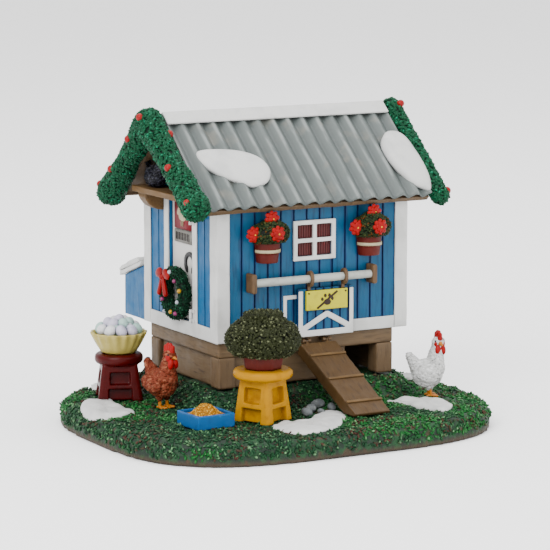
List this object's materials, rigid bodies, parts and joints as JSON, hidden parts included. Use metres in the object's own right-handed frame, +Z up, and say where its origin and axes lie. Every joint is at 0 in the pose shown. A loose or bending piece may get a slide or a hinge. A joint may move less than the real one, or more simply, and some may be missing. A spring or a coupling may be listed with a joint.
{
  "type": "chicken coop",
  "caption": "Table-top painted chicken coop on a mossy snowy base, with sliding hen door, ramp, nest box, gable door, garlands, hens, stools, egg bowl and feed tray.",
  "frame": {"origin": "under the middle of the whole piece's outline, on the surface it stands on", "axes": "+X along the house's long wall, -Y out of the long wall with the sliding door and ramp, -X out of the gable end with the wreath door, +Z up"},
  "size_m": [0.1284, 0.1166, 0.1019],
  "materials": {
    "paint_grass": "textured moss-green paint",
    "paint_snow": "satin white snow paint",
    "paint_stone": "matt stone paint",
    "paint_timber": "matt brown wood paint",
    "paint_floor": "matt brown wood paint",
    "paint_blue": "blue board paint with navy wash",
    "paint_white": "satin white trim paint",
    "paint_curtain": "dark red paint",
    "paint_tin": "grey tin paint with light ridges",
    "paint_deck": "matt brown wood paint",
    "paint_evergreen": "green paint with light dry brush",
    "paint_red": "glossy red paint",
    "paint_tan": "matt tan wood paint",
    "paint_black": "satin black paint",
    "paint_gold": "metallic gold paint",
    "paint_plaque": "matt red paint",
    "hinge_metal": "white painted hinge metal",
    "pin_metal": "plain steel",
    "paint_rail": "matt off-white paint",
    "paint_block": "matt brown wood paint",
    "paint_sign": "matt yellow paint",
    "paint_umber": "dark brown paint",
    "paint_tub": "maroon paint",
    "paint_leaf": "dark leaf green paint",
    "paint_ramp": "matt brown wood paint",
    "paint_stool_red": "satin red paint",
    "paint_stool_yellow": "satin yellow paint",
    "paint_bowl": "satin cream yellow paint",
    "paint_egg": "pastel egg paint",
    "paint_shrub": "olive leaf paint",
    "paint_tray": "satin blue paint",
    "paint_grain": "golden grain paint",
    "paint_hen_brown": "rust brown feather paint",
    "paint_feather": "white feather paint"
  },
  "bodies": {
    "house": {"terrain_base": "paint_grass", "ground_snow": "paint_snow", "rocks": "paint_stone", "plinth_posts": "paint_timber", "sill_beams": "paint_timber", "skirt_panels": "paint_timber", "floor_deck": "paint_floor", "wall_front": "paint_blue", "wall_back": "paint_blue", "wall_left": "paint_blue", "wall_right": "paint_blue", "corner_boards": "paint_white", "wall_trim": "paint_white", "pop_hole_frame": "paint_white", "window_frame": "paint_white", "curtain": "paint_curtain", "roof_sheet_front": "paint_tin", "roof_sheet_back": "paint_tin", "roof_deck_front": "paint_deck", "roof_deck_back": "paint_deck", "ridge_cap": "paint_white", "roof_snow": "paint_snow", "garland_left": "paint_evergreen", "garland_right": "paint_evergreen", "garland_berries": "paint_red", "roost_shelf": "paint_tan", "roosting_hen": "paint_black", "fixed_hinge_leaves": "hinge_metal", "hinge_pins": "pin_metal", "door_rail": "paint_rail", "rail_blocks": "paint_block", "wall_tubs": "paint_tub", "wall_bushes": "paint_leaf", "wall_flowers": "paint_red", "nest_box": "paint_blue", "red_stool": "paint_stool_red", "yellow_stool": "paint_stool_yellow", "egg_bowl": "paint_bowl", "eggs": "paint_egg", "shrub_pot": "paint_tub", "shrub": "paint_shrub", "feed_tray": "paint_tray", "feed_grain": "paint_grain", "brown_hen": "paint_hen_brown", "white_hen": "paint_feather"},
    "pop_door": {"pop_door_panel": "paint_blue", "pop_door_trim": "paint_white", "door_hangers": "paint_block", "warning_sign": "paint_sign", "sign_marks": "paint_umber"},
    "nest_lid": {"nest_lid": "paint_tan", "lid_snow": "paint_snow"},
    "ramp": {"ramp_board": "paint_ramp", "ramp_battens": "paint_tan"},
    "gable_door": {"gable_door_panel": "paint_white", "gable_door_leaves": "hinge_metal", "door_plaque": "paint_plaque", "horseshoe": "paint_black", "wreath": "paint_leaf", "wreath_ornaments": "paint_gold"}
  },
  "joints": [
    {"name": "pop_door_slide", "type": "slide", "parent": "house", "child": "pop_door", "axis": [1, 0, 0], "range_m": [-0.018, 0.0085]},
    {"name": "nest_lid_hinge", "type": "hinge", "parent": "house", "child": "nest_lid", "pos_m": [-0.0023, 0.0414, 0.04828], "axis": [1, 0, 0], "range_deg": [0, 60]},
    {"name": "ramp_hinge", "type": "hinge", "parent": "house", "child": "ramp", "pos_m": [0.0115, -0.0115, 0.0276], "axis": [-1, 0, 0], "range_deg": [0, 75]},
    {"name": "gable_door_hinge", "type": "hinge", "parent": "house", "child": "gable_door", "pos_m": [-0.0253, 0.006, 0.053], "axis": [0, 0, 1], "range_deg": [0, 80]}
  ]
}
